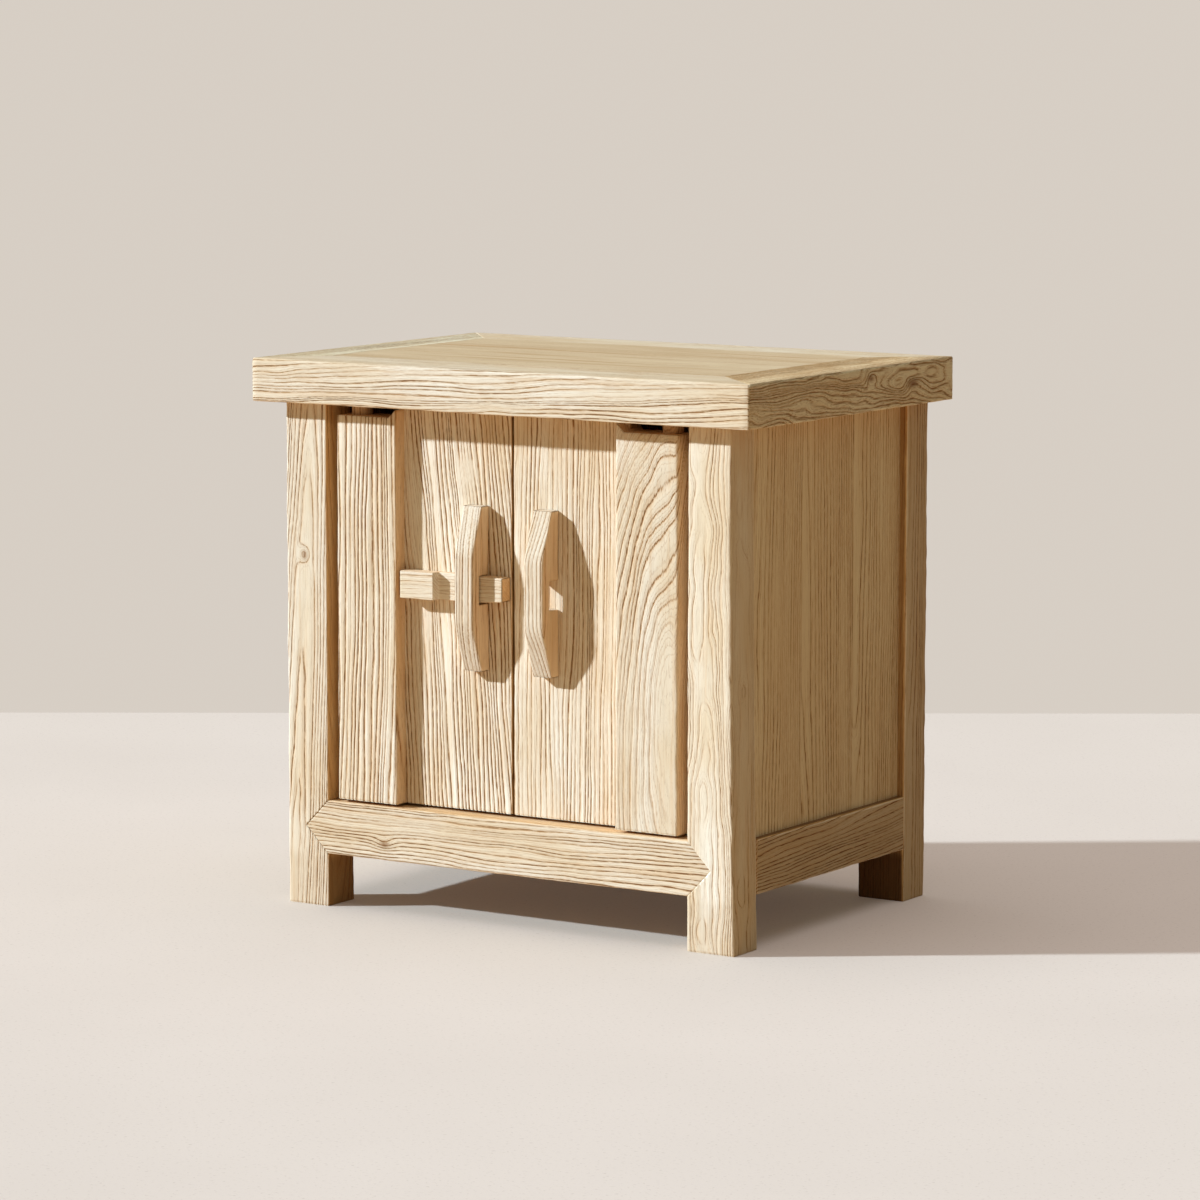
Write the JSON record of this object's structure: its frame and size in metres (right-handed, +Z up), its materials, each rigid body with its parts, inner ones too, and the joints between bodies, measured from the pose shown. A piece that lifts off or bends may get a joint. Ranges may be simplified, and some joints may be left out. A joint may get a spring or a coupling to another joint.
{
  "type": "kang cabinet",
  "caption": "Low wooden cabinet with a thick framed top, plank sides and back, and plank doors on wooden pintles, held shut by a sliding bar through their handles.",
  "frame": {"origin": "on the floor, under the middle of the top slab", "axes": "+X to the cabinet's right as seen from its front, +Y to its back, +Z up; the doors are on the -Y side"},
  "size_m": [0.65, 0.45, 0.62],
  "materials": {
    "elm_top_boards": "dry, weathered elm with open grain",
    "elm_top_frame": "dry, weathered elm with open grain",
    "elm_inside": "dry, weathered elm with open grain",
    "elm_posts": "dry, weathered elm with open grain",
    "elm_rails": "dry, weathered elm with open grain",
    "elm_panels": "dry, weathered elm with open grain",
    "elm_stiles": "dry, weathered elm with open grain",
    "elm_door_boards": "dry, weathered elm with open grain",
    "elm_fittings": "dry, weathered elm with open grain"
  },
  "bodies": {
    "root": {"back_panel_board_1": "elm_panels", "back_panel_board_2": "elm_panels", "back_panel_board_3": "elm_panels", "back_panel_board_4": "elm_panels", "bottom_rail_back": "elm_rails", "bottom_rail_front": "elm_rails", "bottom_rail_left": "elm_rails", "bottom_rail_right": "elm_rails", "floor_board_1": "elm_inside", "floor_board_2": "elm_inside", "floor_board_3": "elm_inside", "left_panel_board_1": "elm_panels", "left_panel_board_2": "elm_panels", "left_panel_board_3": "elm_panels", "post_back_left": "elm_posts", "post_back_right": "elm_posts", "post_front_left": "elm_posts", "post_front_right": "elm_posts", "right_panel_board_1": "elm_panels", "right_panel_board_2": "elm_panels", "right_panel_board_3": "elm_panels", "top_back_rail": "elm_top_frame", "top_batten_left": "elm_inside", "top_batten_right": "elm_inside", "top_board_1": "elm_top_boards", "top_board_2": "elm_top_boards", "top_board_3": "elm_top_boards", "top_front_rail": "elm_top_frame", "top_left_rail": "elm_top_frame", "top_right_rail": "elm_top_frame"},
    "left_door": {"left_door_batten_lower": "elm_inside", "left_door_batten_upper": "elm_inside", "left_door_board": "elm_door_boards", "left_door_stile": "elm_stiles", "left_handle": "elm_fittings", "left_handle_pegs": "elm_fittings"},
    "right_door": {"right_door_batten_lower": "elm_inside", "right_door_batten_upper": "elm_inside", "right_door_board": "elm_door_boards", "right_door_stile": "elm_stiles", "right_handle": "elm_fittings", "right_handle_pegs": "elm_fittings"},
    "latch_bar": {"latch_bar": "elm_fittings"}
  },
  "joints": [
    {"name": "left_door_hinge", "type": "hinge", "parent": "root", "child": "left_door", "pos_m": [-0.206, -0.178, 0.1245], "axis": [0, 0, -1], "range_deg": [0, 105]},
    {"name": "right_door_hinge", "type": "hinge", "parent": "root", "child": "right_door", "pos_m": [0.202, -0.178, 0.1245], "axis": [0, 0, 1], "range_deg": [0, 105]},
    {"name": "latch_bar_slide", "type": "slide", "parent": "left_door", "child": "latch_bar", "axis": [1, 0, 0], "range_m": [-0.004, 0.076]}
  ]
}
